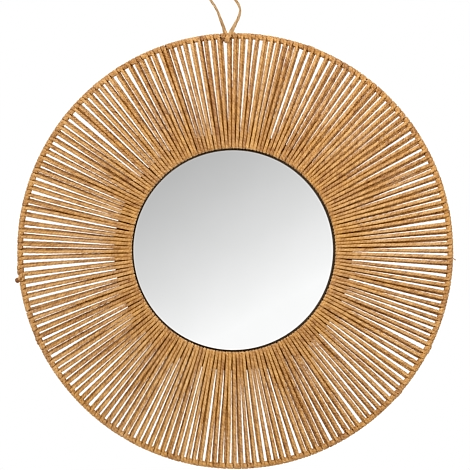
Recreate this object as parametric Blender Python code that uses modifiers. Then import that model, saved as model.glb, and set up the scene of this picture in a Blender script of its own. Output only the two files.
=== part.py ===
"""Round wall mirror with a wound paper-cord surround, hanging from a twine loop.

One long paper cord runs to and fro between a small inner hoop and a large outer hoop: out along the front, over the outer
hoop, back along the rear and round the inner hoop, 192 times. A black round board lies behind the inner part of the winding
and carries the mirror glass. A loop of thinner twine is tied round the rim at the top.

Metres, +Z up. The wall is the plane y = 0, the mirror faces -Y. The origin is on the wall, under the top of the loop, where
the nail is.
"""
import math

import bmesh
import bpy
from mathutils import Vector

NAME = "round_cord_mirror"
GAP = 0.0003  # between pieces that rest on each other

# Where the round pieces have their middles, seen from the front. The hand-wound surround isn't quite even, so the inner
# pieces sit a little to the left of the outer hoop's middle.
HOOP_X, HOOP_Z = 0.0249, -0.3377
INNER_DX, INNER_DZ = -0.0018, 0.0016
GLASS_DX, GLASS_DZ = -0.0026, 0.0011
BOARD_DX, BOARD_DZ = -0.0025, -0.0008

# Winding
SPOKES = 192
OUTER_R = 0.2750  # outside of the rim
INNER_R = 0.1290  # inside of the inner turns
WIRE_R = 0.00125  # both hoops are 2.5 mm wire
WIRE_CLEAR = 0.0004
CORD_W = 0.00365  # the cord's width along a spoke
RIM_CORD_T = 0.0024  # the cord lies flattened over the outer hoop
INNER_CORD_T = 0.0032
RIM_COVER = 0.0085  # two flattened turns side by side cover the rim at each spoke
SEAT = (WIRE_R + WIRE_CLEAR) * math.sqrt(2)  # the cord's inner side to the wire's middle, at the four corners of a turn
RISE = WIRE_R + CORD_W - SEAT  # from that side to the top of a spoke
HALF_THICK = SEAT + RISE
OUTER_HOOP_R = OUTER_R - RIM_CORD_T - WIRE_R
INNER_HOOP_R = INNER_R + INNER_CORD_T + WIRE_R
PITCH = 2 * math.pi / SPOKES
BACK_AT = 0.755  # where the rear spoke leaves the rim, in pitches after the front one
BACK_IN = 0.74  # and where it reaches the inner hoop

# Board and glass
BOARD_R, BOARD_T = 0.1505, 0.0030
GLASS_R, GLASS_T = 0.1260, 0.0030
GLASS_EDGE, GLASS_EDGE_DROP = 0.0013, 0.0007  # the polished bevel round the front

# Depths
PLANE_Y = -(BOARD_T + GAP + HALF_THICK)  # the middle plane of both hoops
FRONT_Y = PLANE_Y - HALF_THICK

# Hanging loop
TWINE_D = 0.0029
KNOT_X, KNOT_Z = 0.0143, -0.0740
KNOT_SIZE = (0.0072, 0.0050, 0.0072)

OUTER_SIDES, INNER_SIDES, WIRE_SIDES = 64, 60, 6
GLASS_SIDES, BOARD_SIDES = 96, 72


def clear_scene():
    for o in list(bpy.data.objects):
        bpy.data.objects.remove(o, do_unlink=True)


def material(name, colour, roughness, metallic=0.0):
    m = bpy.data.materials.new(name)
    m.use_nodes = True
    p = m.node_tree.nodes["Principled BSDF"]
    p.inputs["Base Color"].default_value = (*colour, 1.0)
    p.inputs["Roughness"].default_value = roughness
    p.inputs["Metallic"].default_value = metallic
    m.diffuse_color = (*colour, 1.0)
    return m


def put(name, data, mat, collection):
    o = bpy.data.objects.new(name, data)
    collection.objects.link(o)
    data.materials.append(mat)
    return o


def smooth(mesh, degrees=40):
    mesh.shade_smooth()
    mesh.set_sharp_from_angle(angle=math.radians(degrees))


# ---------------------------------------------------------------- the winding


def stations(turn):
    """The places that one turn of the cord passes: (hoop, angle, distance out from the hoop's middle line, depth in front of
    its plane, width, way out, thickness), from the inside of the inner hoop to its rear. The way out is the angle in the
    section, 0 towards the viewer and 90 away from the hoops' centre."""
    a = turn * PITCH
    tilt = 22.5
    rise = RISE / math.cos(math.radians(tilt))
    outer_t = RIM_CORD_T + WIRE_R - SEAT
    inner_t = INNER_CORD_T + WIRE_R - SEAT
    return [
        ("inner", a - 0.13 * PITCH, -SEAT, 0.0, CORD_W, -90.0, inner_t),
        ("inner", a, 0.0, SEAT, CORD_W, -tilt, rise),
        ("outer", a, 0.0, SEAT, CORD_W, tilt, rise),
        ("outer", a + 0.5 * BACK_AT * PITCH, SEAT, 0.0, RIM_COVER, 90.0, outer_t),
        ("outer", a + BACK_AT * PITCH, 0.0, -SEAT, CORD_W, 180.0 - tilt, rise),
        ("inner", a + BACK_IN * PITCH, 0.0, -SEAT, CORD_W, 180.0 + tilt, rise),
    ]


HOOPS = {
    "outer": (HOOP_X, HOOP_Z, OUTER_HOOP_R),
    "inner": (HOOP_X + INNER_DX, HOOP_Z + INNER_DZ, INNER_HOOP_R),
}


def section(hoop, angle, out, depth, width, way, thick):
    """Three points of the cord's outline at a station: both edges of the side that lies on the hoop, and the ridge."""
    cx, cz, radius = HOOPS[hoop]
    radial = Vector((math.cos(angle), 0.0, math.sin(angle)))
    along = Vector((-math.sin(angle), 0.0, math.cos(angle)))
    front = Vector((0.0, -1.0, 0.0))
    foot = Vector((cx, PLANE_Y, cz)) + radial * (radius + out) + front * depth
    w = math.radians(way)
    ridge = foot + (front * math.cos(w) + radial * math.sin(w)) * thick
    return [foot - along * width / 2, foot + along * width / 2, ridge]


def cord_winding(mat, collection):
    """The whole cord as one loft along its route. Its two ends meet at the rear of the inner hoop."""
    bm = bmesh.new()
    rings = [[bm.verts.new(p) for p in section(*s)] for turn in range(SPOKES) for s in stations(turn)]
    for a, b in zip(rings, rings[1:]):
        for k in range(3):
            j = (k + 1) % 3
            bm.faces.new((a[k], a[j], b[j], b[k]))
    bm.faces.new(rings[0])
    bm.faces.new(rings[-1])
    bmesh.ops.recalc_face_normals(bm, faces=bm.faces)
    mesh = bpy.data.meshes.new("cord_winding")
    bm.to_mesh(mesh)
    bm.free()
    return put("cord_winding", mesh, mat, collection)


# ---------------------------------------------------------------- hoops, board, glass


def hoop(name, cx, cz, radius, sides, mat, collection):
    """A closed ring of wire, standing upright in the hoops' plane."""
    bpy.ops.mesh.primitive_torus_add(
        major_segments=sides, minor_segments=WIRE_SIDES, major_radius=radius, minor_radius=WIRE_R,
        location=(cx, PLANE_Y, cz), rotation=(math.pi / 2, 0.0, 0.0),
    )
    o = bpy.context.object
    o.name = o.data.name = name
    for c in list(o.users_collection):
        c.objects.unlink(o)
    collection.objects.link(o)
    o.data.materials.append(mat)
    o.data.shade_smooth()
    return o


def turned(name, profile, steps, location, mat, collection):
    """A round plate: a profile of (radius, height) turned about its axis, which then points at the viewer."""
    mesh = bpy.data.meshes.new(name)
    mesh.from_pydata([(r, 0.0, h) for r, h in profile], [(i, i + 1) for i in range(len(profile) - 1)], [])
    o = put(name, mesh, mat, collection)
    screw = o.modifiers.new("Screw", "SCREW")
    screw.axis = "Z"
    screw.angle = 2 * math.pi
    screw.steps = screw.render_steps = steps
    screw.use_merge_vertices = True
    screw.merge_threshold = 0.00005
    screw.use_smooth_shade = False
    o.location = location
    o.rotation_euler = (math.pi / 2, 0.0, 0.0)
    return o


# ---------------------------------------------------------------- hanging loop


def smooth_route(points, step):
    """Points about step apart on a smooth curve through the given ones (centripetal Catmull-Rom)."""
    pts = [Vector(p) for p in points]
    pts = [2 * pts[0] - pts[1], *pts, 2 * pts[-1] - pts[-2]]
    fine = []
    for p0, p1, p2, p3 in zip(pts, pts[1:], pts[2:], pts[3:]):
        t = [0.0]
        for a, b in ((p0, p1), (p1, p2), (p2, p3)):
            t.append(t[-1] + math.sqrt((b - a).length))
        for k in range(24):
            s = t[1] + (t[2] - t[1]) * k / 24
            a1 = ((t[1] - s) * p0 + (s - t[0]) * p1) / (t[1] - t[0])
            a2 = ((t[2] - s) * p1 + (s - t[1]) * p2) / (t[2] - t[1])
            a3 = ((t[3] - s) * p2 + (s - t[2]) * p3) / (t[3] - t[2])
            b1 = ((t[2] - s) * a1 + (s - t[0]) * a2) / (t[2] - t[0])
            b2 = ((t[3] - s) * a2 + (s - t[1]) * a3) / (t[3] - t[1])
            fine.append(((t[2] - s) * b1 + (s - t[1]) * b2) / (t[2] - t[1]))
    fine.append(pts[-2])
    along = [0.0]
    for a, b in zip(fine, fine[1:]):
        along.append(along[-1] + (b - a).length)
    count = max(2, round(along[-1] / step))
    out, k = [], 0
    for i in range(count + 1):
        want = along[-1] * i / count
        while k < len(fine) - 2 and along[k + 1] < want:
            k += 1
        f = (want - along[k]) / max(along[k + 1] - along[k], 1e-12)
        out.append(fine[k].lerp(fine[k + 1], min(max(f, 0.0), 1.0)))
    return out


RIM_TOP_FRONT = FRONT_Y - GAP - TWINE_D / 2  # the twine's middle where it lies on the front of the rim
RIM_TOP_BACK = -TWINE_D / 2 - 0.0001  # and where it lies between the rim and the wall
NAIL_Y = -TWINE_D / 2 - 0.0003
TOP_Z = TWINE_D / 2  # the twine's middle over the nail

# The route, from the knot in front of the rim, up the right side, over the nail and down the left side behind the rim.
LOOP_ROUTE = [
    (0.0159, RIM_TOP_FRONT - 0.0004, -0.0695),
    (0.0176, RIM_TOP_FRONT - 0.0001, -0.0658),
    (0.0196, RIM_TOP_FRONT + 0.0003, -0.0622),
    (0.0224, -0.0122, -0.0568),
    (0.0260, -0.0102, -0.0498),
    (0.0292, -0.0083, -0.0428),
    (0.0310, -0.0066, -0.0352),
    (0.0297, -0.0052, -0.0281),
    (0.0260, -0.0041, -0.0218),
    (0.0196, -0.0031, -0.0125),
    (0.0130, -0.0023, -0.0046),
    (0.0062, NAIL_Y, 0.0003),
    (0.0000, NAIL_Y, TOP_Z),
    (-0.0066, NAIL_Y, -0.0018),
    (-0.0102, NAIL_Y, -0.0080),
    (-0.0094, NAIL_Y, -0.0152),
    (-0.0054, -0.0018, -0.0220),
    (-0.0008, -0.0018, -0.0288),
    (0.0030, -0.0018, -0.0358),
    (0.0062, -0.0018, -0.0448),
    (0.0097, -0.0017, -0.0541),
    (0.0121, -0.0016, -0.0632),
    (0.0137, RIM_TOP_BACK, -0.0695),
    (0.0146, RIM_TOP_BACK, -0.0735),
]


def hanging_loop(mat, collection):
    curve = bpy.data.curves.new("hanging_loop", "CURVE")
    curve.dimensions = "3D"
    curve.bevel_depth = TWINE_D / 2
    curve.bevel_resolution = 2
    curve.use_fill_caps = True
    points = smooth_route(LOOP_ROUTE, 2.3 * TWINE_D)
    spline = curve.splines.new("POLY")
    spline.points.add(len(points) - 1)
    for p, at in zip(spline.points, points):
        p.co = (*at, 1.0)
    return put("hanging_loop", curve, mat, collection)


def loop_knot(mat, collection):
    """The lump of the knot, in front of the rim's inner edge."""
    mesh = bpy.data.meshes.new("loop_knot")
    bm = bmesh.new()
    bmesh.ops.create_uvsphere(bm, u_segments=12, v_segments=8, radius=0.5)
    bmesh.ops.scale(bm, vec=KNOT_SIZE, verts=bm.verts)
    bm.to_mesh(mesh)
    bm.free()
    mesh.shade_smooth()
    o = put("loop_knot", mesh, mat, collection)
    o.location = (KNOT_X, FRONT_Y - GAP - KNOT_SIZE[1] / 2, KNOT_Z)
    return o


def build():
    clear_scene()
    collection = bpy.data.collections.new(NAME)
    bpy.context.scene.collection.children.link(collection)

    cord = material("paper_cord", (0.56, 0.29, 0.09), 0.75)
    twine = material("loop_twine", (0.58, 0.35, 0.14), 0.8)
    wire = material("steel_wire", (0.30, 0.29, 0.28), 0.45, 1.0)
    glass = material("mirror_silver", (0.88, 0.90, 0.91), 0.03, 1.0)
    black = material("black_board", (0.012, 0.012, 0.012), 0.6)

    cord_winding(cord, collection)
    hoop("outer_hoop", HOOP_X, HOOP_Z, OUTER_HOOP_R, OUTER_SIDES, wire, collection)
    # the flat sides of the inner ring bow inwards, so its corners lie a little further out than the wire's true circle
    inner_r = INNER_HOOP_R * (1 + (1 - math.cos(math.pi / INNER_SIDES)) / 2)
    hoop("inner_hoop", HOOP_X + INNER_DX, HOOP_Z + INNER_DZ, inner_r, INNER_SIDES, wire, collection)

    turned(
        "back_board",
        [(0.0, BOARD_T), (BOARD_R, BOARD_T), (BOARD_R, 0.0), (0.0, 0.0)],
        BOARD_SIDES, (HOOP_X + BOARD_DX, 0.0, HOOP_Z + BOARD_DZ), black, collection,
    )
    turned(
        "mirror_glass",
        [(0.0, GLASS_T), (GLASS_R - GLASS_EDGE, GLASS_T), (GLASS_R, GLASS_T - GLASS_EDGE_DROP), (GLASS_R, 0.0), (0.0, 0.0)],
        GLASS_SIDES, (HOOP_X + GLASS_DX, -(BOARD_T + GAP), HOOP_Z + GLASS_DZ), glass, collection,
    )
    hanging_loop(twine, collection)
    loop_knot(twine, collection)


build()
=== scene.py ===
"""Looks of the round wall mirror in its wound paper-cord surround.

The winding is one long two-ply twisted paper cord, made here as a mesh along its real route: out along the front, over the
outer hoop twice, back behind and round the inner hoop, 192 times. The twine loop, its knot and the cord's two loose ends are
pieces of their own. Metres, +Z up, the mirror faces -Y.
"""
import math

import bmesh
import bpy
import numpy as np
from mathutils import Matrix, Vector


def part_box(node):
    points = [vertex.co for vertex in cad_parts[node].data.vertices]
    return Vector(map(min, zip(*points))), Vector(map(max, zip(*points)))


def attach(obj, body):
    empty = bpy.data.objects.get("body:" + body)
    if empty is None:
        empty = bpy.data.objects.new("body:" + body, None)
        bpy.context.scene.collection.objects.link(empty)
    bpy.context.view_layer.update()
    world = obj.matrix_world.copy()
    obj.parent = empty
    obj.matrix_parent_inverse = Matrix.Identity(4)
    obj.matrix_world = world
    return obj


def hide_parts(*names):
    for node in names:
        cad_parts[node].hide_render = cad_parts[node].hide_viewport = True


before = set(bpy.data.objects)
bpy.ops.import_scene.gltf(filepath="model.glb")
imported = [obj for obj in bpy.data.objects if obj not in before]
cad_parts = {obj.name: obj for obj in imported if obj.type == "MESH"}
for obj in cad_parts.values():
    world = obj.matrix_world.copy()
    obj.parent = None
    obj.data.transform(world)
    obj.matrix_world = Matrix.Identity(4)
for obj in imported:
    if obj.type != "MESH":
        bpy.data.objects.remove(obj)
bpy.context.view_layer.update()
RNG = np.random.default_rng(20261)
D2R = math.pi / 180

# ---------------------------------------------------------------- sizes, as in the frame

HOOP_X, HOOP_Z = 0.0249, -0.3377
INNER_DX, INNER_DZ = -0.0020, 0.0011
SPOKES = 192
OUTER_R, INNER_R = 0.2750, 0.1290
WIRE_R = 0.00125
RIM_T, TURN_T = 0.0024, 0.0033  # the cord's thickness where it lies flattened over the hoops
OUTER_HOOP_R = 0.2750 - 0.0024 - 0.00125
TURN_BEND = 0.0017  # the cord's middle line bends this tightly round the inner hoop
TURN_R = 0.12832 + TURN_T / 2 + TURN_BEND  # where the spokes end and the turns round the inner hoop begin
PLANE_Y = (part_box("cord_winding")[0].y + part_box("cord_winding")[1].y) / 2
PITCH = 2 * math.pi / SPOKES
LAY = 0.0160  # length of one full turn of the two plies
PLY_R, PLY_OFF = 0.00166, 0.00024  # each ply's radius and its distance from the cord's middle: they are pressed close together
GROOVE = 0.00012  # how deep the shallow groove between the plies is
SECTORS = 6
MM_PER_PX = 0.0012609


def photo(u, v):
    """The place on the hoops' plane that a pixel of the 470 px frame shows, as (x, z)."""
    return (u - 215.0) * MM_PER_PX, -(v + 17.3) * MM_PER_PX


# ---------------------------------------------------------------- camera

DISTANCE = 2.9
cam_data = bpy.data.cameras.new("camera")
cam_data.sensor_fit = "HORIZONTAL"
cam_data.sensor_width = 36.0
cam_data.lens = 36.0 * DISTANCE / (470 * MM_PER_PX)
cam_data.clip_start, cam_data.clip_end = 0.05, 60.0
camera = bpy.data.objects.new("camera", cam_data)
bpy.context.scene.collection.objects.link(camera)
cx, cz = photo(234.5, 234.5)
camera.location = (cx, PLANE_Y - DISTANCE, cz)
camera.rotation_euler = (math.pi / 2, 0.0, 0.0)
bpy.context.scene.camera = camera


# ---------------------------------------------------------------- materials


class Nodes:
    """A short way to build a material's nodes."""

    def __init__(self, name):
        self.mat = bpy.data.materials.new(name)
        self.mat.use_nodes = True
        self.tree = self.mat.node_tree
        self.bsdf = self.tree.nodes["Principled BSDF"]

    def add(self, kind, **values):
        n = self.tree.nodes.new(kind)
        for k, v in values.items():
            if hasattr(n, k):
                setattr(n, k, v)
            else:
                n.inputs[k.replace("_", " ")].default_value = v
        return n

    def link(self, a, b):
        self.tree.links.new(a, b)

    def math(self, op, a, b=None, c=None, clamp=False):
        n = self.tree.nodes.new("ShaderNodeMath")
        n.operation = op
        n.use_clamp = clamp
        for i, v in enumerate((a, b, c)):
            if v is None:
                continue
            if isinstance(v, (int, float)):
                n.inputs[i].default_value = v
            else:
                self.link(v, n.inputs[i])
        return n.outputs[0]

    def ramp(self, fac, stops, interpolation="LINEAR"):
        n = self.tree.nodes.new("ShaderNodeValToRGB")
        n.color_ramp.interpolation = interpolation
        e = n.color_ramp.elements
        while len(e) < len(stops):
            e.new(0.5)
        for el, (pos, col) in zip(e, stops):
            el.position = pos
            el.color = (*col, 1.0)
        self.link(fac, n.inputs["Fac"])
        return n.outputs["Color"]

    def mix(self, kind, fac, a, b):
        n = self.tree.nodes.new("ShaderNodeMix")
        n.data_type = "RGBA"
        n.blend_type = kind
        for sock, v in ((n.inputs[0], fac), (n.inputs[6], a), (n.inputs[7], b)):
            if isinstance(v, (int, float)):
                sock.default_value = v
            elif isinstance(v, tuple):
                sock.default_value = (*v, 1.0)
            else:
                self.link(v, sock)
        return n.outputs[2]


def cord_material(name, dark, base, light, crease=2.6, hatch=3.9, tone=1.0, rough=0.72, grain=1.0, contrast=1.0):
    """Twisted kraft paper: long diagonal folds, mottled tone, fine fibres. It reads the map 'cord': U once round the cord,
    V along it in centimetres; and the point value 'tone', which is even along a stretch of cord."""
    m = Nodes(name)
    uv = m.add("ShaderNodeUVMap", uv_map="cord")
    sep = m.add("ShaderNodeSeparateXYZ")
    m.link(uv.outputs["UV"], sep.inputs[0])
    u, v = sep.outputs["X"], sep.outputs["Y"]

    # folds that run slantwise round each ply
    slant = m.math("ADD", m.math("MULTIPLY", u, 2.6), m.math("MULTIPLY", v, crease))
    comb = m.add("ShaderNodeCombineXYZ")
    m.link(slant, comb.inputs["X"])
    m.link(m.math("MULTIPLY", v, 0.55), comb.inputs["Y"])
    folds = m.add("ShaderNodeTexNoise", noise_dimensions="3D", Scale=1.5, Detail=1.2, Roughness=0.5, Distortion=0.25)
    m.link(comb.outputs[0], folds.inputs["Vector"])

    # fine lines of the folded paper, same slant
    comb2 = m.add("ShaderNodeCombineXYZ")
    m.link(m.math("MULTIPLY", slant, 2.3), comb2.inputs["X"])
    m.link(m.math("MULTIPLY", v, 0.8), comb2.inputs["Y"])
    lines = m.add("ShaderNodeTexNoise", noise_dimensions="3D", Scale=1.5, Detail=2.0, Roughness=0.6)
    m.link(comb2.outputs[0], lines.inputs["Vector"])

    # the close creases that run nearly straight across the cord
    twist = m.math("ADD", m.math("MULTIPLY", u, 2.0), m.math("MULTIPLY", v, hatch))
    twist = m.math("ADD", twist, m.math("MULTIPLY", folds.outputs["Fac"], 0.7))
    hatching = m.math("SINE", m.math("MULTIPLY", twist, 2 * math.pi))

    # mottling in the paper itself
    pos = m.add("ShaderNodeTexCoord")
    mottle = m.add("ShaderNodeTexNoise", noise_dimensions="3D", Scale=150.0, Detail=1.2, Roughness=0.5)
    m.link(pos.outputs["Object"], mottle.inputs["Vector"])
    broad = m.add("ShaderNodeTexNoise", noise_dimensions="3D", Scale=22.0, Detail=2.0, Roughness=0.5)
    m.link(pos.outputs["Object"], broad.inputs["Vector"])

    attr = m.add("ShaderNodeAttribute", attribute_name="tone")
    strand = m.math("MULTIPLY", attr.outputs["Fac"], 0.10 * tone)
    # The folds, fibre lines and creases lighten the colour on their crests and darken it in their hollows, in step with
    # the bump below: painted highlight and shade on the paper's relief. The mottling and broad patches are the paper's
    # own tone.
    k = m.math("ADD", m.math("MULTIPLY", folds.outputs["Fac"], 0.54), m.math("MULTIPLY", lines.outputs["Fac"], 0.24))
    k = m.math("ADD", k, m.math("MULTIPLY", hatching, 0.062))
    k = m.math("ADD", k, m.math("MULTIPLY", mottle.outputs["Fac"], 0.54 * grain))
    k = m.math("ADD", k, m.math("MULTIPLY", broad.outputs["Fac"], 0.10))
    k = m.math("SUBTRACT", k, 0.710)
    calm = m.add("ShaderNodeAttribute", attribute_name="calm")
    k = m.math("MULTIPLY", k, m.math("SUBTRACT", contrast, m.math("MULTIPLY", calm.outputs["Fac"], contrast)))
    # painted shade: the colour is darkened in the groove between the two plies
    deep = m.add("ShaderNodeAttribute", attribute_name="groove")
    k = m.math("SUBTRACT", k, m.math("MULTIPLY", m.math("POWER", deep.outputs["Fac"], 2.0), 0.06))
    k = m.math("ADD", k, 0.444)
    k = m.math("ADD", k, strand, clamp=True)
    colour = m.ramp(k, [(0.18, dark), (0.47, base), (0.88, light)])

    # a few strands are greyer or more orange than the rest
    hue = m.add("ShaderNodeHueSaturation", Value=1.0)
    shade = m.math("MAXIMUM", m.math("MINIMUM", attr.outputs["Fac"], 1.0), -1.0)
    m.link(m.math("ADD", m.math("MULTIPLY", shade, 0.0010), 0.501), hue.inputs["Hue"])
    wander = m.math("ADD", m.math("MULTIPLY", broad.outputs["Fac"], -0.16), 1.055)
    m.link(wander, hue.inputs["Saturation"])
    m.link(colour, hue.inputs["Color"])
    m.link(hue.outputs["Color"], m.bsdf.inputs["Base Color"])

    m.bsdf.inputs["Specular IOR Level"].default_value = 0.45
    r = m.math("ADD", m.math("MULTIPLY", lines.outputs["Fac"], -0.25), rough + 0.12)
    m.link(r, m.bsdf.inputs["Roughness"])

    height = m.math("ADD", m.math("MULTIPLY", folds.outputs["Fac"], 0.55), m.math("MULTIPLY", lines.outputs["Fac"], 0.20))
    height = m.math("ADD", height, m.math("MULTIPLY", hatching, 0.11))
    bump = m.add("ShaderNodeBump", Strength=0.62 * contrast, Distance=0.00055)
    m.link(height, bump.inputs["Height"])
    m.link(bump.outputs["Normal"], m.bsdf.inputs["Normal"])
    return m.mat


PAPER = cord_material("paper_cord", (0.200, 0.060, 0.005), (0.500, 0.242, 0.056), (0.708, 0.448, 0.173))
TWINE = cord_material("loop_twine", (0.132, 0.051, 0.0085), (0.384, 0.203, 0.062), (0.632, 0.432, 0.202), crease=1.3, hatch=1.7, rough=0.66, contrast=0.65)
# where it is knotted, the strip lies open and shows its warmer inside
OPEN_TWINE = cord_material("loop_twine_open", (0.190, 0.065, 0.008), (0.533, 0.265, 0.070), (0.853, 0.551, 0.228), crease=1.3, hatch=1.7, rough=0.66, contrast=0.50)


def board_material(middle, radius):
    """Fibreboard under matt black paint, with the roller's fine orange peel, and a ring of painted light on its front
    face: it is drawn pale brown just round the glass, in the narrow gap between the glass and the cords.
    """
    m = Nodes("black_board")
    pos = m.add("ShaderNodeTexCoord")
    fine = m.add("ShaderNodeTexNoise", noise_dimensions="3D", Scale=900.0, Detail=3.0, Roughness=0.6)
    wide = m.add("ShaderNodeTexNoise", noise_dimensions="3D", Scale=35.0, Detail=4.0, Roughness=0.55)
    m.link(pos.outputs["Object"], fine.inputs["Vector"])
    m.link(pos.outputs["Object"], wide.inputs["Vector"])
    k = m.math("ADD", m.math("MULTIPLY", fine.outputs["Fac"], 0.5), m.math("MULTIPLY", wide.outputs["Fac"], 0.5))
    paint = m.ramp(k, [(0.30, (0.0100, 0.0060, 0.0036)), (0.55, (0.0160, 0.0098, 0.0060)), (0.75, (0.0280, 0.0190, 0.0125))])
    from_middle = m.add("ShaderNodeVectorMath", operation="SUBTRACT")
    m.link(pos.outputs["Object"], from_middle.inputs[0])
    from_middle.inputs[1].default_value = middle
    sep = m.add("ShaderNodeSeparateXYZ")
    m.link(from_middle.outputs[0], sep.inputs[0])
    out = m.math("SQRT", m.math("ADD", m.math("POWER", sep.outputs["X"], 2.0), m.math("POWER", sep.outputs["Z"], 2.0)))
    # painted light: the front face is drawn pale brown in a narrow ring just outside the glass
    painted_light_ring = m.math("SUBTRACT", 1.0, m.math("DIVIDE", m.math("SUBTRACT", out, radius + 0.0015), 0.0020), clamp=True)
    painted_light_ring = m.math("MULTIPLY", painted_light_ring, m.math("LESS_THAN", sep.outputs["Y"], 0.0020))  # on the front face only
    m.link(m.mix("MIX", m.math("MULTIPLY", painted_light_ring, 0.85), paint, (0.110, 0.080, 0.056)), m.bsdf.inputs["Base Color"])
    m.link(m.math("ADD", m.math("MULTIPLY", wide.outputs["Fac"], 0.25), 0.45), m.bsdf.inputs["Roughness"])
    bump = m.add("ShaderNodeBump", Strength=0.35, Distance=0.0002)
    m.link(fine.outputs["Fac"], bump.inputs["Height"])
    m.link(bump.outputs["Normal"], m.bsdf.inputs["Normal"])
    m.bsdf.inputs["Specular IOR Level"].default_value = 0.15
    return m.mat


def silver_material(radius):
    """Silvered float glass, with its ground edge. The faintest unevenness of the glass shows only in how sharp its
    reflection is; the edge is dull and a little green."""
    m = Nodes("mirror_silver")
    pos = m.add("ShaderNodeTexCoord")
    haze = m.add("ShaderNodeTexNoise", noise_dimensions="3D", Scale=18.0, Detail=3.0, Roughness=0.5)
    m.link(pos.outputs["Object"], haze.inputs["Vector"])
    grind = m.add("ShaderNodeTexNoise", noise_dimensions="3D", Scale=420.0, Detail=2.0, Roughness=0.5)
    m.link(pos.outputs["Object"], grind.inputs["Vector"])
    sep = m.add("ShaderNodeSeparateXYZ")
    m.link(pos.outputs["Object"], sep.inputs[0])
    out = m.math("SQRT", m.math("ADD", m.math("POWER", sep.outputs["X"], 2.0), m.math("POWER", sep.outputs["Z"], 2.0)))
    edge = m.math("GREATER_THAN", out, radius - 0.00015)
    silver = m.ramp(haze.outputs["Fac"], [(0.3, (0.930, 0.938, 0.935)), (0.7, (0.950, 0.955, 0.955))])
    ground = m.ramp(grind.outputs["Fac"], [(0.3, (0.60, 0.68, 0.65)), (0.7, (0.78, 0.84, 0.82))])
    m.link(m.mix("MIX", edge, silver, ground), m.bsdf.inputs["Base Color"])
    dull = m.math("MULTIPLY", m.math("ADD", m.math("MULTIPLY", grind.outputs["Fac"], 0.3), 0.15), edge)
    m.link(m.math("ADD", m.math("MULTIPLY", haze.outputs["Fac"], 0.02), dull), m.bsdf.inputs["Roughness"])
    m.bsdf.inputs["Metallic"].default_value = 1.0
    return m.mat


def wire_material():
    """Drawn steel wire, with specks of rust."""
    m = Nodes("steel_wire")
    pos = m.add("ShaderNodeTexCoord")
    spots = m.add("ShaderNodeTexNoise", noise_dimensions="3D", Scale=260.0, Detail=4.0, Roughness=0.65)
    m.link(pos.outputs["Object"], spots.inputs["Vector"])
    m.link(m.ramp(spots.outputs["Fac"], [(0.35, (0.34, 0.33, 0.31)), (0.62, (0.26, 0.24, 0.22)), (0.75, (0.16, 0.08, 0.04))]), m.bsdf.inputs["Base Color"])
    m.link(m.math("ADD", m.math("MULTIPLY", spots.outputs["Fac"], 0.3), 0.3), m.bsdf.inputs["Roughness"])
    m.bsdf.inputs["Metallic"].default_value = 1.0
    bump = m.add("ShaderNodeBump", Strength=0.3, Distance=0.0001)
    m.link(spots.outputs["Fac"], bump.inputs["Height"])
    m.link(bump.outputs["Normal"], m.bsdf.inputs["Normal"])
    return m.mat


# ---------------------------------------------------------------- tubes


def cord_shape(way):
    """How far out the cord's surface is, each way round from the line through its two plies: with a groove between them."""
    across = np.abs((np.mod(way, np.pi) - np.pi / 2))
    return PLY_OFF * np.abs(np.cos(way)) + np.sqrt(PLY_R**2 - (PLY_OFF * np.sin(way)) ** 2) - GROOVE * np.exp(-((across / 0.38) ** 2))


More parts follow.
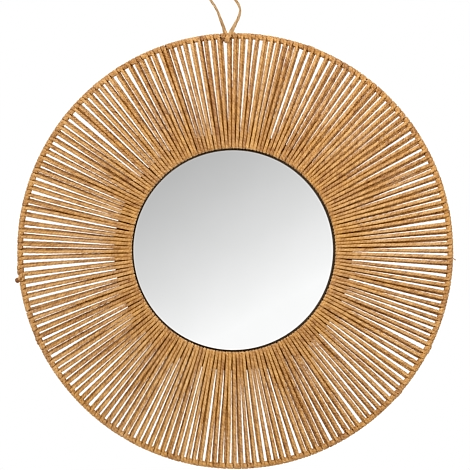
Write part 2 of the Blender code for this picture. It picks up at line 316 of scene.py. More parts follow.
def tube(name, centre, normal, shape, turn, wide, thick, along, tone, press=0.0, fuzz=0.035, tip=0.0, sides=12, calm=0.0):
    """One closed tube. centre (n, 3) are the ring centres, normal (n, 3) the way that is outward there. shape gives the
    distance out for each way round, and it turns by turn (n) about the centre; it is then stretched by wide across and thick
    along the normal. press, 0 to 1, is how far the plies are pressed into one, and calm how far that has smoothed the paper's folds. The mesh's
    own lines run straight along."""
    n, k = len(centre), sides
    fixed = 2 * np.pi * np.arange(k) / k
    way = fixed[None, :] - turn[:, None]
    out = shape(way)
    size = shape(np.linspace(0, 2 * np.pi, 97))
    deep = 1 - (out - size.min()) / (size.max() - size.min())
    press = np.full(n, press) if np.isscalar(press) else press
    t = np.gradient(centre, axis=0)
    t /= np.linalg.norm(t, axis=1, keepdims=True)
    up = normal - (normal * t).sum(1)[:, None] * t
    up /= np.linalg.norm(up, axis=1, keepdims=True)
    side = np.cross(up, t)
    # where the cord is pressed hard its plies come to one flat-sided oval
    flat_a, flat_b = (np.sign(np.round(q, 9)) * np.abs(q) ** 0.5 for q in (np.cos(fixed), np.sin(fixed)))
    swell = np.ones_like(out)
    r = np.random.default_rng(abs(hash_name(name)))
    if fuzz:
        phase = r.uniform(0, 2 * np.pi, 4)
        d = sum(
            w * np.sin(2 * np.pi * along[:, None] / L + phase[j] + (j + 1) * way)
            for j, (L, w) in enumerate(((0.0061, 0.5), (0.0097, 0.5), (0.0153, 0.45), (0.033, 0.45)))
        )
        swell = 1 + fuzz * d
    shrink = np.ones(n)
    if tip:
        shrink[0], shrink[-1] = tip, tip
    pressed, free = press[:, None] * size.mean(), (1 - press)[:, None] * out
    a = (free * np.cos(fixed) + pressed * flat_a) * swell * (wide * shrink)[:, None]
    b = (free * np.sin(fixed) + pressed * flat_b) * swell * (thick * shrink)[:, None]
    pts = centre[:, None, :] + a[:, :, None] * side[:, None, :] + b[:, :, None] * up[:, None, :]
    verts = pts.reshape(-1, 3)
    i, j = np.meshgrid(np.arange(n - 1), np.arange(k), indexing="ij")
    j2 = (j + 1) % k
    quads = np.stack([i * k + j, i * k + j2, (i + 1) * k + j2, (i + 1) * k + j], axis=-1).reshape(-1, 4)
    spun = turn / (2 * np.pi)
    uv_u = np.stack([j / k - spun[i], (j + 1) / k - spun[i], (j + 1) / k - spun[i + 1], j / k - spun[i + 1]], axis=-1).reshape(-1, 4)
    uv_v = np.stack([along[i], along[i], along[i + 1], along[i + 1]], axis=-1).reshape(-1, 4) * 100.0
    loops = np.concatenate([quads.ravel(), np.arange(k)[::-1], (n - 1) * k + np.arange(k)])
    starts = np.concatenate([np.arange(len(quads)) * 4, [len(quads) * 4, len(quads) * 4 + k]])
    us = np.concatenate([uv_u.ravel(), np.arange(k)[::-1] / k, np.arange(k) / k])
    vs = np.concatenate([uv_v.ravel(), np.full(k, along[0] * 100), np.full(k, along[-1] * 100)])
    return {
        "verts": verts, "loops": loops, "starts": starts, "uv": np.stack([us, vs], 1), "tone": np.repeat(tone, k),
        "groove": (deep * (1 - 0.6 * press)[:, None]).ravel(), "calm": np.full(n * k, calm) if np.isscalar(calm) else np.repeat(calm, k),
    }


def hash_name(name):
    h = 7
    for ch in name:
        h = (h * 131 + ord(ch)) % 2147483647
    return h


def piece(name, parts, material, angle=50):
    """One mesh object of one or more closed tubes."""
    verts = np.concatenate([p["verts"] for p in parts])
    offs = np.cumsum([0] + [len(p["verts"]) for p in parts])
    lofs = np.cumsum([0] + [len(p["loops"]) for p in parts])
    loops = np.concatenate([p["loops"] + o for p, o in zip(parts, offs)])
    starts = np.concatenate([p["starts"] + o for p, o in zip(parts, lofs)])
    mesh = bpy.data.meshes.new(name)
    mesh.vertices.add(len(verts))
    mesh.vertices.foreach_set("co", verts.astype(np.float32).ravel())
    mesh.loops.add(len(loops))
    mesh.loops.foreach_set("vertex_index", loops.astype(np.int32))
    mesh.polygons.add(len(starts))
    mesh.polygons.foreach_set("loop_start", starts.astype(np.int32))
    uv = mesh.uv_layers.new(name="cord")
    uv.data.foreach_set("uv", np.concatenate([p["uv"] for p in parts]).astype(np.float32).ravel())
    for label in ("tone", "groove", "calm"):
        at = mesh.attributes.new(label, "FLOAT", "POINT")
        at.data.foreach_set("value", np.concatenate([p[label] for p in parts]).astype(np.float32))
    mesh.update(calc_edges=True)
    mesh.validate()
    mesh.shade_smooth()
    mesh.set_sharp_from_angle(angle=math.radians(angle))
    mesh.materials.append(material)
    o = bpy.data.objects.new(name, mesh)
    bpy.context.scene.collection.objects.link(o)
    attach(o, "root")
    return o


# ---------------------------------------------------------------- the winding's route

FRONT = np.array([0.0, -1.0, 0.0])
OUTER_C = np.array([HOOP_X, PLANE_Y, HOOP_Z])
INNER_C = np.array([HOOP_X + INNER_DX, PLANE_Y, HOOP_Z + INNER_DZ])


def radial(a):
    return np.stack([np.cos(a), np.zeros_like(a), np.sin(a)], axis=-1)


def wander(n, smooth):
    """n values round a closed ring, mean 0 and spread 1, alike over about this many neighbours."""
    x = RNG.normal(size=n)
    if smooth > 0:
        k = np.exp(-0.5 * (np.arange(-4 * int(smooth) - 4, 4 * int(smooth) + 5) / smooth) ** 2)
        x = np.convolve(np.concatenate([x, x, x]), k, mode="same")[n : 2 * n]
    return (x - x.mean()) / x.std()


# Hand winding is uneven: each turn lies against the one before, so the spacing wanders round the ring. The widest gaps and
# the places where two spokes touch are at these angles, anticlockwise from the right.
WIDE = (65.6, 71.8, 92.9, 120.6, 139.5, 171.2, 187.2, 285.7, 322.8, 355.4)
TOUCHING = (68.4, 79.0, 137.6, 256.2, 331.1, 357.6)
GAP_AT = 0.29  # degrees: how far a gap's middle is from halfway between two front spokes, because of the rear spoke in it


def settle(angles, least):
    """Moves neighbours apart until none is nearer than this share of the even spacing."""
    a = angles.copy()
    for _ in range(60):
        gap = np.diff(np.append(a, a[0] + 2 * np.pi))
        push = np.clip(least * PITCH - gap, 0, None) / 2
        a = a - push + np.roll(push, 1)
    return a


def rim_places():
    gap = 1 + 0.050 * RNG.normal(size=SPOKES)
    marks = sorted([(int(round((w + GAP_AT) / 1.875 - 0.5)) % SPOKES, w, 1.27) for w in WIDE]
                   + [(int(round((w + GAP_AT) / 1.875 - 0.5)) % SPOKES, w, 0.79) for w in TOUCHING])
    fixed = []
    for i, w, g in marks:
        gap[i] = g
        if not fixed or i > fixed[-1][0] + 2:
            fixed.append((i, (w + GAP_AT) * D2R - g * PITCH / 2))
    a = np.zeros(SPOKES)
    for (i, start), (j, end) in zip(fixed, fixed[1:] + [(fixed[0][0] + SPOKES, fixed[0][1] + 2 * math.pi)]):
        first = start + gap[i] * PITCH
        between = [gap[k % SPOKES] for k in range(i + 1, j)]
        scale = (end - first) / (sum(between) * PITCH)
        a[i], place = start, first
        for k, g in zip(range(i + 1, j), between):
            a[k % SPOKES] = place if k < SPOKES else place - 2 * math.pi
            place += g * PITCH * scale
    return a


def even_out(a, neighbours):
    """The slow part of how the places wander."""
    off = a - np.arange(SPOKES) * PITCH
    k = np.exp(-0.5 * (np.arange(-24, 25) / neighbours) ** 2)
    return np.convolve(np.concatenate([off, off, off]), k / k.sum(), mode="same")[SPOKES : 2 * SPOKES]


A_OUT = settle(rim_places() + 0.055 * PITCH * RNG.normal(size=SPOKES), 0.72)
GAP_OUT = np.diff(np.append(A_OUT, A_OUT[0] + 2 * np.pi))
A_IN = settle(np.arange(SPOKES) * PITCH + even_out(A_OUT, 5.0) + 0.075 * PITCH * RNG.normal(size=SPOKES), 0.80)
GAP_IN = np.diff(np.append(A_IN, A_IN[0] + 2 * np.pi))

# The rear spokes lie partly behind the front ones. Where they fill the gaps the winding looks closed, and where they hide
# behind the front ones it is open: (angle, half of the spread, how much)
FILL = (
    (30, 33, 0.9), (90, 5, 0.9), (176, 4, 0.2), (235, 8, 0.9), (291, 9, 0.6), (327, 5, 0.9),
    (0, 4, -0.7), (104, 5, -1.2), (147, 9, -0.7), (165, 8, -1.1), (190, 9, -1.0), (213, 9, -1.2), (257, 7, -0.7), (278, 4, -1.0), (315, 4, -0.6), (338, 5, -0.5),
)
fill = np.zeros(SPOKES)
for at, half, much in FILL:
    off = np.abs((A_OUT / D2R - at + 180) % 360 - 180)
    fill += 0.88 * much * np.exp(-((off / half) ** 4))
B_OUT = A_OUT + GAP_OUT - (0.290 + 0.035 * fill + 0.050 * RNG.normal(size=SPOKES)) * PITCH
B_IN = settle(A_IN + GAP_IN - (0.29 + 0.15 * fill + 0.13 * RNG.normal(size=SPOKES)) * PITCH, 0.80)

RHO_OUT = WIRE_R + RIM_T / 2
RHO_IN = WIRE_R + TURN_T / 2
BOW = 0.00038  # how far a spoke may bow sideways between the hoops
RIM_LIFT = 0.00010 * np.abs(wander(SPOKES, 0))
# places where the rim has a small step or lump
for angle, lift in ((68.4, 0.0007), (333.1, 0.0009), (317.3, 0.0008), (203.3, 0.0009), (184.6, 0.0013)):
    at = int(np.argmin(np.abs((A_OUT - angle * D2R + np.pi) % (2 * np.pi) - np.pi)))
    RIM_LIFT[at] += lift
TONE = 0.32 * wander(SPOKES, 0) + 0.10 * wander(SPOKES, 5)

STEP = {"front": 0.00150, "back": 0.00215, "rim": 0.00135, "turn": 0.00135}


def ramp01(x):
    x = np.clip(x, 0, 1)
    return x * x * (3 - 2 * x)


def straight(a, b, bow1, bow2, step, depth_wave):
    """Points on a spoke from a to b, without its last one, with a little sideways bow."""
    n = max(8, int(round(np.linalg.norm(b - a) / step)))
    t = np.arange(n) / n
    d = b - a
    side = np.cross(FRONT, d / np.linalg.norm(d))
    p = a[None] + t[:, None] * d[None]
    p += side[None] * (bow1 * np.sin(np.pi * t) + bow2 * np.sin(2 * np.pi * t))[:, None]
    p += FRONT[None] * (depth_wave * np.sin(np.pi * t))[:, None]
    return p, t


def spoke_path(i):
    """One whole turn of the cord from the rear of the inner hoop: a list of (centre, normal, kind) for the turn round
    the inner hoop, the front spoke, the rim and the rear spoke.
    """
    j = (i + 1) % SPOKES
    wrap = 2 * np.pi if j == 0 else 0.0
    parts = []
    # round the inner hoop, from behind to the front: comes in from the rear spoke before this one
    b_in_before = B_IN[i - 1] - (2 * np.pi if i == 0 else 0.0)
    level = 2 * (RHO_IN - TURN_BEND)  # between its two bends the cord goes straight from back to front
    long = math.pi * TURN_BEND + level
    n = max(6, int(round(long / STEP["turn"])))
    d = long * np.arange(n) / n
    quarter = math.pi / 2 * TURN_BEND
    ph = (np.clip(d, 0, quarter) + np.clip(d - quarter - level, 0, quarter)) / TURN_BEND
    a = b_in_before + (A_IN[i] - b_in_before) * np.arange(n) / n
    rad = radial(a)
    nrm = -rad * np.sin(ph)[:, None] - FRONT[None] * np.cos(ph)[:, None]
    forward = np.clip(d - quarter, 0, level) - level / 2 - TURN_BEND * np.cos(ph)
    c = INNER_C[None] + rad * (TURN_R - TURN_BEND * np.sin(ph))[:, None] + FRONT[None] * forward[:, None]
    parts.append((c, nrm, "turn"))
    # front spoke
    p0 = INNER_C + radial(A_IN[i : i + 1])[0] * TURN_R + FRONT * RHO_IN
    p1 = OUTER_C + radial(A_OUT[i : i + 1])[0] * OUTER_HOOP_R + FRONT * RHO_OUT
    c, t = straight(p0, p1, BOW * BOWS[0][i], BOW * 0.5 * BOWS[1][i], STEP["front"], 0.00012 * BOWS[4][i])
    parts.append((c, np.repeat(FRONT[None], len(c), 0), "front"))
    # one and a half turns over the outer hoop
    n = int(round(3 * math.pi * RHO_OUT / STEP["rim"]))
    f = np.arange(n) / n
    ph = 3 * np.pi * f
    a = A_OUT[i] + (B_OUT[i] - A_OUT[i]) * f
    rad = radial(a)
    nrm = rad * np.sin(ph)[:, None] + FRONT[None] * np.cos(ph)[:, None]
    lift = RIM_LIFT[i] * ramp01(np.sin(ph)) + 0.00045 * np.clip(-np.sin(ph), 0, 1)
    c = OUTER_C[None] + rad * OUTER_HOOP_R + nrm * (RHO_OUT + lift)[:, None]
    parts.append((c, nrm, "rim"))
    # rear spoke
    p0 = OUTER_C + radial(B_OUT[i : i + 1])[0] * OUTER_HOOP_R - FRONT * RHO_OUT
    p1 = INNER_C + radial(B_IN[i : i + 1])[0] * TURN_R - FRONT * RHO_IN
    c, t = straight(p0, p1, BOW * BOWS[2][i], BOW * 0.6 * BOWS[3][i], STEP["back"], 0.0)
    parts.append((c, np.repeat(-FRONT[None], len(c), 0), "back"))
    return parts


BOWS = [RNG.normal(size=SPOKES) for _ in range(5)]
FULL_W = 2 * (PLY_R + 0.64 * PLY_OFF)  # the cord's width on average, as its plies turn


def sector(number):
    first, last = number * SPOKES // SECTORS, (number + 1) * SPOKES // SECTORS
    centre, normal, wide, thick, tone, press, calm = [], [], [], [], [], [], []
    for i in range(first, last):
        for c, nrm, kind in spoke_path(i):
            r_out = np.hypot(c[:, 0] - OUTER_C[0], c[:, 2] - OUTER_C[2])
            r_in = np.hypot(c[:, 0] - INNER_C[0], c[:, 2] - INNER_C[2])
            rim = np.ones(len(c)) if kind == "rim" else ramp01((r_out - (OUTER_HOOP_R - 0.0045)) / 0.0042)
            inn = np.ones(len(c)) if kind == "turn" else ramp01((TURN_R + 0.0050 - r_in) / 0.0042)
            strand = GAP_OUT[i] / 2 * OUTER_HOOP_R  # the room that each of the two turns has on the rim
            turn = 0.5 * (GAP_IN[i] + GAP_IN[i - 1]) * (TURN_R - 0.0020)
            spread = rim if kind == "rim" else rim * 0.3  # a spoke spreads out only where it bends over the hoop
            centre.append(c)
            normal.append(nrm)
            loose = 0.09 * ramp01((r_in - 0.150) / 0.045) * (1 - rim)  # flatter where it is less tightly held
            room = turn * r_in / (TURN_R - 0.0020)  # the spacing of the front spokes here
            crowded = ramp01((0.180 - r_in) / 0.036) * (1 - inn) if kind != "back" else 0.0  # pressed flat against the next one
            wide.append(1 + loose + (strand * 1.06 / FULL_W - 1) * spread + (turn * 1.05 / FULL_W - 1) * inn + np.clip(room * 0.862 / FULL_W - 1, 0, 0.25) * crowded)
            thick.append(1 + (RIM_T / FULL_W - 1) * rim + (TURN_T / FULL_W - 1) * inn)
            press.append(0.40 * (1 - rim) * (1 - inn) + 0.52 * spread + 0.45 * inn + 0.48 * crowded)
            calm.append(0.16 + 0.24 * rim + 0.24 * inn + 0.16 * crowded)
            rear_painted_shade = ramp01((0.172 - r_in) / 0.026) if kind == "back" else 0.0  # painted shade: the rear spokes are drawn far darker between the board and the front spokes, where they lie in shadow
            # painted shade where the front spokes crowd together near the middle, with the deeper painted shade on the
            # rear spokes; the cord is also drawn a little darker along the free spokes and over both hoops
            tone.append(np.full(len(c), TONE[i]) - 0.15 * (1 - rim) * (1 - inn) - 0.45 * rim - 0.45 * inn - 0.45 * crowded - 3.2 * rear_painted_shade)
    centre, normal = np.concatenate(centre), np.concatenate(normal)
    # the last ring is where the next sector begins
    nxt = spoke_path(last % SPOKES)[0]
    centre, normal = np.vstack([centre, nxt[0][0]]), np.vstack([normal, nxt[1][0]])
    wide, thick, tone, press, calm = (np.append(x := np.concatenate(q), x[-1]) for q in (wide, thick, tone, press, calm))
    k = np.array([0.25, 0.5, 0.25])
    for _ in range(2):
        for arr in (wide, thick, press):
            arr[1:-1] = np.convolve(arr, k, mode="valid")
    steps = np.linalg.norm(np.diff(centre, axis=0), axis=1)
    along = np.concatenate([[0.0], np.cumsum(steps)])
    lay = LAY * (1 + 0.10 * np.sin(along / 0.37 + number) + 0.05 * np.sin(along / 0.071 + 2 * number))
    turn = np.concatenate([[0.0], np.cumsum(2 * np.pi * steps / ((lay[1:] + lay[:-1]) / 2))]) + number
    made = tube(f"cord_winding_{number}", centre, normal, cord_shape, turn, wide, thick, along + 11.0 * number, tone, press, fuzz=0.045, calm=calm)
    return made, along[-1]


total = 0.0
for number in range(SECTORS):
    made, long = sector(number)
    total += long
    o = piece(f"cord_winding_{number + 1}", [made], PAPER)
    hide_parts("cord_winding")
print("cord in the winding, m:", round(total, 2))


# ---------------------------------------------------------------- hanging loop

TWINE_D = 0.0029
FRONT_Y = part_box("cord_winding")[0].y
RIM_TOP_FRONT = FRONT_Y - 0.0003 - TWINE_D / 2
RIM_TOP_BACK = -TWINE_D / 2 - 0.0001
NAIL_Y = -TWINE_D / 2 - 0.0003
TOP_Z = TWINE_D / 2
LOOP_ROUTE = [
    (0.0159, RIM_TOP_FRONT - 0.0004, -0.0695),
    (0.0176, RIM_TOP_FRONT - 0.0001, -0.0658),
    (0.0196, RIM_TOP_FRONT + 0.0003, -0.0622),
    (0.0224, -0.0122, -0.0568),
    (0.0260, -0.0102, -0.0498),
    (0.0292, -0.0083, -0.0428),
    (0.0310, -0.0066, -0.0352),
    (0.0297, -0.0052, -0.0281),
    (0.0260, -0.0041, -0.0218),
    (0.0196, -0.0031, -0.0125),
    (0.0130, -0.0023, -0.0046),
    (0.0062, NAIL_Y, 0.0003),
    (0.0000, NAIL_Y, TOP_Z),
    (-0.0066, NAIL_Y, -0.0018),
    (-0.0102, NAIL_Y, -0.0080),
    (-0.0094, NAIL_Y, -0.0152),
    (-0.0054, -0.0018, -0.0220),
    (-0.0008, -0.0018, -0.0288),
    (0.0030, -0.0018, -0.0358),
    (0.0062, -0.0018, -0.0448),
    (0.0097, -0.0017, -0.0541),
    (0.0121, -0.0016, -0.0632),
    (0.0137, RIM_TOP_BACK, -0.0695),
    (0.0146, RIM_TOP_BACK, -0.0735),
]


def smooth_route(points, step):
    """Points about step apart on a smooth curve through the given ones (centripetal Catmull-Rom)."""
    pts = np.array(points, float)
    pts = np.vstack([2 * pts[0] - pts[1], pts, 2 * pts[-1] - pts[-2]])
    fine = []
    for p0, p1, p2, p3 in zip(pts, pts[1:], pts[2:], pts[3:]):
        t = [0.0]
        for a, b in ((p0, p1), (p1, p2), (p2, p3)):
            t.append(t[-1] + math.sqrt(np.linalg.norm(b - a)))
        for k in range(24):
            s = t[1] + (t[2] - t[1]) * k / 24
            a1 = ((t[1] - s) * p0 + (s - t[0]) * p1) / (t[1] - t[0])
            a2 = ((t[2] - s) * p1 + (s - t[1]) * p2) / (t[2] - t[1])
            a3 = ((t[3] - s) * p2 + (s - t[2]) * p3) / (t[3] - t[2])
            b1 = ((t[2] - s) * a1 + (s - t[0]) * a2) / (t[2] - t[0])
            b2 = ((t[3] - s) * a2 + (s - t[1]) * a3) / (t[3] - t[1])
            fine.append(((t[2] - s) * b1 + (s - t[1]) * b2) / (t[2] - t[1]))
    fine.append(pts[-2])
    fine = np.array(fine)
    along = np.concatenate([[0], np.cumsum(np.linalg.norm(np.diff(fine, axis=0), axis=1))])
    at = np.linspace(0, along[-1], max(2, int(round(along[-1] / step))) + 1)
    return np.stack([np.interp(at, along, fine[:, k]) for k in range(3)], axis=1)


def frames(path, first):
    """A way outward at each ring that turns with the path and doesn't spin about it."""
    t = np.gradient(path, axis=0)
    t /= np.linalg.norm(t, axis=1, keepdims=True)
    n = [np.array(first, float)]
    for k in range(len(path)):
        v = n[-1] - (n[-1] @ t[k]) * t[k]
        n.append(v / np.linalg.norm(v))
    return np.array(n[1:])


def twine_shape(way):
    """A folded paper strip, loosely twisted: a flattened round with one fold standing proud and one crease."""
    crease = 0.20 * np.exp(-((np.sin(way / 2) / 0.20) ** 2)) + 0.12 * np.exp(-((np.sin((way - 3.53) / 2) / 0.20) ** 2))
    return (1 + 0.08 * np.cos(2 * way) + 0.06 * np.cos(3 * way + 0.6) - crease) * TWINE_D / 2 * 0.96


def twine_tube(name, path, first=(0, -1, 0), lay=0.034, size=1.0, tone=0.0, start=0.0, tip=0.0, flat=1.0):
    """size is how wide it is, as a share of the twine's width, alike all along or one for each ring: the strip opens out
    where it is slack, and is then thinner for its width."""
    along = np.concatenate([[0], np.cumsum(np.linalg.norm(np.diff(path, axis=0), axis=1))])
    turn = 2 * np.pi * along / lay + 0.35 * np.sin(along / 0.011) + start
    w = size * (1 + 0.05 * np.sin(along / 0.0052 + 1.0) * np.sin(along / 0.013))
    return tube(name, path, frames(path, first), twine_shape, turn, w, (0.42 + 0.58 * w) * flat, along, np.full(len(path), tone), fuzz=0.035, tip=tip, sides=16)


def px(u, v, y):
    x, z = photo(u, v)
    return (x, y, z)


loop_path = smooth_route(LOOP_ROUTE, 0.0011)
# Both legs widen towards the knot, where the strip has opened: the width by height, first the leg in front, then the other.
top = int(np.argmax(loop_path[:, 2]))
v_of = -loop_path[:, 2] / MM_PER_PX - 17.3
opened = np.where(
    np.arange(len(loop_path)) < top,
    np.interp(v_of, [-17, 0, 3.6, 7, 11, 14.5, 18, 21.5, 25, 28.5, 31.5, 38], [1.10, 1.18, 1.14, 1.00, 1.02, 1.18, 1.30, 1.46, 1.62, 1.74, 1.80, 1.70]),
    np.interp(v_of, [-17, 0, 3.6, 7, 11, 14.5, 18, 21.5, 25, 28.5, 32, 38], [1.12, 1.08, 1.14, 1.16, 1.06, 1.14, 1.26, 1.36, 1.46, 1.62, 1.66, 1.20]),
)
loop = piece("twine_loop", [twine_tube("twine_loop", loop_path, size=1.05 * opened, tone=0.1)], TWINE, angle=60)
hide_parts("hanging_loop")

# The knot: the front leg comes down across the rim as a broad band, turns under it between two spokes and goes back up behind;
# the other leg ends beside it on the rim, and the band's loose end lies as a lump on its right.
under = smooth_route(
    [px(230.2, 32.4, -0.0152), px(228.8, 35.0, -0.0160), px(227.4, 37.6, -0.0164), px(226.4, 39.8, -0.0163), px(226.0, 41.5, -0.0148),
     px(226.0, 42.1, -0.0118), px(226.2, 41.4, -0.0086), px(226.4, 39.8, -0.0050), px(226.6, 38.2, RIM_TOP_BACK)],
    0.0009,
)
left_end = smooth_route(
    [px(225.0, 30.6, -0.0050), px(225.2, 31.6, -0.0100), px(225.7, 33.0, -0.0120), px(226.6, 34.6, -0.0116), px(227.8, 35.6, -0.0100)],
    0.0009,
)
tuck = smooth_route(
    [px(223.3, 36.0, -0.0070), px(222.9, 37.2, -0.0100), px(222.9, 38.6, -0.0108), px(223.4, 40.0, -0.0104), px(224.4, 40.9, -0.0090)],
    0.0009,
)
right_end = smooth_route(
    [px(230.6, 33.2, -0.0120), px(232.2, 33.6, -0.0138), px(233.7, 34.5, -0.0142), px(234.6, 35.8, -0.0136), px(234.9, 36.9, -0.0122)],
    0.0009,
)
knot = piece(
    "twine_knot",
    [
        twine_tube("under", under, size=np.interp(np.linspace(0, 1, len(under)), [0, 0.30, 0.6, 1], [1.62, 1.95, 2.10, 1.4]), tone=-0.3, lay=0.3, start=2.4, flat=0.62),
        twine_tube("left_end", left_end, size=1.30, tone=0.2, tip=0.8),
        # the twine tucked behind the front spokes left of the knot is drawn almost black-brown: painted shade
        twine_tube("tuck", tuck, size=0.95, tone=-3.0, tip=0.7),
        twine_tube("right_end", right_end, size=2.10, tone=-0.5, tip=0.75, lay=0.3, start=2.4, flat=0.80),
    ],
    OPEN_TWINE, angle=60,
)
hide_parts("loop_knot")


# ---------------------------------------------------------------- the cord's own two ends on the rim


end_y = PLANE_Y - WIRE_R - RIM_T - 0.0012
end_path = smooth_route(
    [px(27.5, 272.6, end_y + 0.0010), px(24.6, 273.0, end_y), px(21.8, 274.6, end_y - 0.0004), px(19.6, 277.0, end_y - 0.0003), px(18.4, 279.2, end_y + 0.0006)],
    0.0010,
)


def cord_bit(name, path, size, wide, thick, tone, tip):
    along = np.concatenate([[0], np.cumsum(np.linalg.norm(np.diff(path, axis=0), axis=1))])
    n = len(path)
    return tube(name, path, frames(path, (0, -1, 0)), lambda way: cord_shape(way) * size, 2 * np.pi * along / LAY, np.full(n, wide), np.full(n, thick), along, np.full(n, tone), tip=tip)


# its knot is a small hard lump: the cord's end turned twice round itself
bx, bz = photo(17.3, 279.7)
lump = []
for k in range(44):
    a = 2 * math.pi * k / 20
    f = k / 43
    lump.append((bx + 0.00155 * math.cos(a), PLANE_Y - 0.0030 + 0.0014 * math.sin(a * 0.5 + 0.7), bz + 0.00170 * math.sin(a) - 0.0007 + 0.0014 * f))
stub = smooth_route([px(450.6, 256.6, PLANE_Y - 0.0024), px(452.4, 257.8, PLANE_Y - 0.0026), px(453.8, 258.8, PLANE_Y - 0.0026), px(455.0, 259.7, PLANE_Y - 0.0024)], 0.0007)
ends = piece(
    "cord_ends",
    [
        cord_bit("cord_end", end_path, 1.0, 1.16, 0.95, -0.2, 0.7),
        # the knot is drawn dark brown all over: painted shade
        cord_bit("cord_knot", np.array(lump), 0.88, 1.0, 1.0, -3.2, 0.5),
        cord_bit("cord_stub", stub, 0.34, 1.0, 1.0, -1.4, 0.6),
    ],
    PAPER,
)


# ---------------------------------------------------------------- carried-over solids

lo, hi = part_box("mirror_glass")
GLASS_R = (hi.x - lo.x) / 2
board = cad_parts["back_board"]
board.data.materials.clear()
board.data.materials.append(board_material(tuple(board.matrix_world.inverted() @ ((lo + hi) / 2)), GLASS_R))

# The pane: its flat front, a small arris, the ground edge and the back.
rings = [
    (0.0300, 0.0), (0.0700, 0.0), (0.1100, 0.0), (GLASS_R - 0.00100, 0.0), (GLASS_R - 0.00020, 0.0),
    (GLASS_R, 0.00020), (GLASS_R, hi.y - lo.y - 0.00030), (GLASS_R - 0.00030, hi.y - lo.y),
]
pane = bmesh.new()
loops = []
for r, deep in rings:
    loops.append([pane.verts.new((r * math.cos(a), deep, r * math.sin(a))) for a in (2 * math.pi * k / 288 for k in range(288))])
front, back = pane.verts.new((0, 0, 0)), pane.verts.new((0, hi.y - lo.y, 0))
for k in range(288):
    q = (k + 1) % 288
    pane.faces.new((front, loops[0][q], loops[0][k]))
    for one, two in zip(loops, loops[1:]):
        pane.faces.new((one[k], one[q], two[q], two[k]))
    pane.faces.new((back, loops[-1][k], loops[-1][q]))
bmesh.ops.recalc_face_normals(pane, faces=pane.faces)
mesh = bpy.data.meshes.new("mirror_pane")
pane.to_mesh(mesh)
pane.free()
mesh.shade_smooth()
mesh.set_sharp_from_angle(angle=math.radians(20))
mesh.materials.append(silver_material(GLASS_R))
glass = bpy.data.objects.new("mirror_pane", mesh)
bpy.context.scene.collection.objects.link(glass)
glass.location = ((lo.x + hi.x) / 2, lo.y, (lo.z + hi.z) / 2)
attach(glass, "root")
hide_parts("mirror_glass")

wire = wire_material()
for name in ("outer_hoop", "inner_hoop"):
    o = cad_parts[name]
    o.data.materials.clear()
    o.data.materials.append(wire)


# ---------------------------------------------------------------- stage and light

scene = bpy.context.scene
scene.view_settings.view_transform = "Standard"
scene.view_settings.look = "None"
scene.view_settings.exposure = 0.0
scene.view_settings.gamma = 1.0

# The photograph is a little sharpened, and holds its colour at half the sharpness of its light and dark: the brown of the cord
# spreads a pixel or so into the dark gaps beside it. The same is done to the picture here.
scene.use_nodes = True
grade = scene.node_tree
grade.nodes.clear()
chain = [
    grade.nodes.new(kind)
    for kind in ("CompositorNodeRLayers", "CompositorNodeConvertColorSpace", "CompositorNodeSeparateColor", "CompositorNodeCombineColor",
                 "CompositorNodeConvertColorSpace", "CompositorNodeComposite")
]
layers, encode, apart, together, decode, final = chain
encode.from_color_space, encode.to_color_space = "Linear Rec.709", "sRGB"
decode.from_color_space, decode.to_color_space = "sRGB", "Linear Rec.709"
for n in (apart, together):
    n.mode, n.ycc_mode = "YCC", "JFIF"
grade.links.new(layers.outputs["Image"], encode.inputs["Image"])
crisp = grade.nodes.new("CompositorNodeFilter")
crisp.filter_type = "SHARPEN"
crisp.inputs["Fac"].default_value = 0.070
grade.links.new(encode.outputs["Image"], apart.inputs["Image"])
grade.links.new(apart.outputs[0], crisp.inputs["Image"])
grade.links.new(crisp.outputs["Image"], together.inputs[0])
for k in (1, 2):
    soft = grade.nodes.new("CompositorNodeBlur")
    soft.filter_type = "GAUSS"
    soft.size_x = soft.size_y = 3
    grade.links.new(apart.outputs[k], soft.inputs["Image"])
    grade.links.new(soft.outputs["Image"], together.inputs[k])
grade.links.new(together.outputs["Image"], decode.inputs["Image"])
grade.links.new(decode.outputs["Image"], final.inputs["Image"])

LEFT, AROUND = 0.75, 3.0  # the room's light from the left, and the pale wall all round the mirror, which lights the rim's outer edge
world = bpy.data.worlds.new("studio")
scene.world = world
world.use_nodes = True
wt = world.node_tree
wt.nodes.clear()
out = wt.nodes.new("ShaderNodeOutputWorld")
mixer = wt.nodes.new("ShaderNodeMixShader")
path = wt.nodes.new("ShaderNodeLightPath")
coord = wt.nodes.new("ShaderNodeTexCoord")


def glow(strength):
    n = wt.nodes.new("ShaderNodeBackground")
    n.inputs["Color"].default_value = (1, 1, 1, 1)
    n.inputs["Strength"].default_value = strength
    return n


def lobe(way, low, high):
    """Light from one side of the room: brightest along way, none from behind it."""
    d = wt.nodes.new("ShaderNodeVectorMath")
    d.operation = "DOT_PRODUCT"
    d.inputs[1].default_value = way
    wt.links.new(coord.outputs["Generated"], d.inputs[0])
    r = wt.nodes.new("ShaderNodeMapRange")
    r.inputs["From Min"].default_value = low
    r.inputs["From Max"].default_value = high
    wt.links.new(d.outputs["Value"], r.inputs["Value"])
    return r.outputs["Result"]


def sums(op, a, b=0.0):
    n = wt.nodes.new("ShaderNodeMath")
    n.operation = op
    for socket, v in zip(n.inputs, (a, b)):
        if isinstance(v, float):
            socket.default_value = v
        else:
            wt.links.new(v, socket)
    return n.outputs[0]


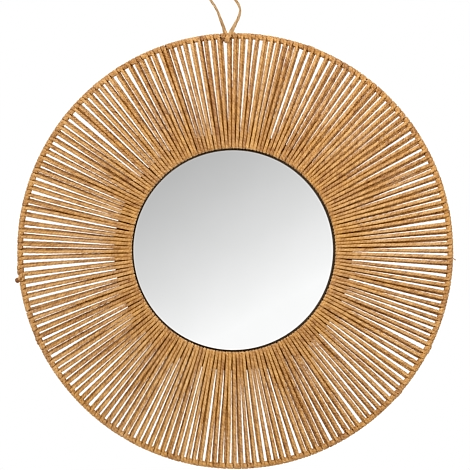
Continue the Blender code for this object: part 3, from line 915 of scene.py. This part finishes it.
seen, lit, gloss = glow(1.0), glow(1.0), glow(0.62)
depth = wt.nodes.new("ShaderNodeSeparateXYZ")
wt.links.new(coord.outputs["Generated"], depth.inputs[0])
wall = sums("MAXIMUM", sums("SUBTRACT", 1.0, sums("DIVIDE", sums("ABSOLUTE", sums("SUBTRACT", depth.outputs["Y"], 0.15)), 0.40)), 0.0)
side = sums("MULTIPLY", lobe((-0.707, -0.707, 0.0), 0.0, 1.0), LEFT)
wt.links.new(sums("ADD", side, sums("MULTIPLY", wall, AROUND)), lit.inputs["Strength"])
wt.links.new(lobe((0.0, -0.25, -0.97), -2.2, 1.0), gloss.inputs["Color"])
shiny = wt.nodes.new("ShaderNodeMixShader")
wt.links.new(path.outputs["Is Glossy Ray"], shiny.inputs["Fac"])
wt.links.new(lit.outputs[0], shiny.inputs[1])
wt.links.new(gloss.outputs[0], shiny.inputs[2])
wt.links.new(path.outputs["Is Camera Ray"], mixer.inputs["Fac"])
wt.links.new(shiny.outputs[0], mixer.inputs[1])
wt.links.new(seen.outputs[0], mixer.inputs[2])
wt.links.new(mixer.outputs[0], out.inputs["Surface"])


def area(name, at, target, size, watts):
    data = bpy.data.lights.new(name, "AREA")
    data.shape = "DISK"
    data.size = size
    data.energy = watts
    o = bpy.data.objects.new(name, data)
    scene.collection.objects.link(o)
    o.location = at
    from mathutils import Vector

    o.rotation_euler = (Vector(target) - Vector(at)).to_track_quat("-Z", "Y").to_euler()
    o.visible_camera = False
    return o


middle = (HOOP_X, PLANE_Y, HOOP_Z)


def lamp(name, azimuth, off_axis, distance, size, watts):
    """A soft lamp aimed at the middle: azimuth as seen from the front, anticlockwise from the right, and off_axis from the
    line straight out of the mirror."""
    a, e = azimuth * D2R, off_axis * D2R
    at = (HOOP_X + distance * math.cos(a) * math.sin(e), -distance * math.cos(e), HOOP_Z + distance * math.sin(a) * math.sin(e))
    return area(name, at, middle, size, watts)


lamp("key", 135, 35, 2.2, 0.70, 15.2)
lamp("right", 45, 35, 1.2, 0.42, 7.3)
lamp("top", 90, 60, 1.3, 0.42, 4.7)
lamp("back", 90, 155, 1.6, 0.80, 16.0)  # for the side that hangs against the wall

# floor
mesh = bpy.data.meshes.new("floor")
s = 3.2
mesh.from_pydata([(-s, -s, 0), (s, -s, 0), (s, s, 0), (-s, s, 0)], [], [(0, 1, 2, 3)])
floor = bpy.data.objects.new("floor", mesh)
scene.collection.objects.link(floor)
floor.location = (HOOP_X, 0.0, HOOP_Z - 0.95)
fm = Nodes("floor")
fm.bsdf.inputs["Base Color"].default_value = (0.86, 0.86, 0.85, 1)
fm.bsdf.inputs["Roughness"].default_value = 0.9
mesh.materials.append(fm.mat)

# A softly graded studio card behind the camera, which the glass reflects: grey above on the left to white below on the right.
mesh = bpy.data.meshes.new("card")
s = 1.3
mesh.from_pydata([(-s, 0, -s), (s, 0, -s), (s, 0, s), (-s, 0, s)], [], [(0, 1, 2, 3)])
card = bpy.data.objects.new("card", mesh)
scene.collection.objects.link(card)
card.location = (cx - 0.0055, PLANE_Y - DISTANCE - 1.2, cz - 0.0460)
card.visible_camera = False
card.visible_diffuse = False
card.visible_shadow = False
cm = bpy.data.materials.new("card")
cm.use_nodes = True
ct = cm.node_tree
ct.nodes.clear()
co = ct.nodes.new("ShaderNodeOutputMaterial")
em = ct.nodes.new("ShaderNodeEmission")
tc = ct.nodes.new("ShaderNodeTexCoord")
dot = ct.nodes.new("ShaderNodeVectorMath")
dot.operation = "DOT_PRODUCT"
dot.inputs[1].default_value = (0.4955, 0.0, -0.8685)
mr = ct.nodes.new("ShaderNodeMapRange")
mr.inputs["From Min"].default_value = -1.0
mr.inputs["From Max"].default_value = 1.0
cr = ct.nodes.new("ShaderNodeValToRGB")
# an even change of tone to the eye, which is a curve in light
stops = [(f, min(250.0, 223.0 + 128.8 * (2 * f - 1)) / 255) for f in (0.0, 0.15, 0.30, 0.40, 0.50, 0.605, 1.0)]
e = cr.color_ramp.elements
while len(e) < len(stops):
    e.new(0.5)
for el, (f, tone) in zip(e, stops):
    light = ((tone + 0.055) / 1.055) ** 2.4 / 0.943
    el.position, el.color = f, (light, light, light, 1)
ct.links.new(tc.outputs["Object"], dot.inputs[0])
ct.links.new(dot.outputs["Value"], mr.inputs["Value"])
ct.links.new(mr.outputs["Result"], cr.inputs["Fac"])
ct.links.new(cr.outputs["Color"], em.inputs["Color"])
ct.links.new(em.outputs[0], co.inputs["Surface"])
mesh.materials.append(cm)
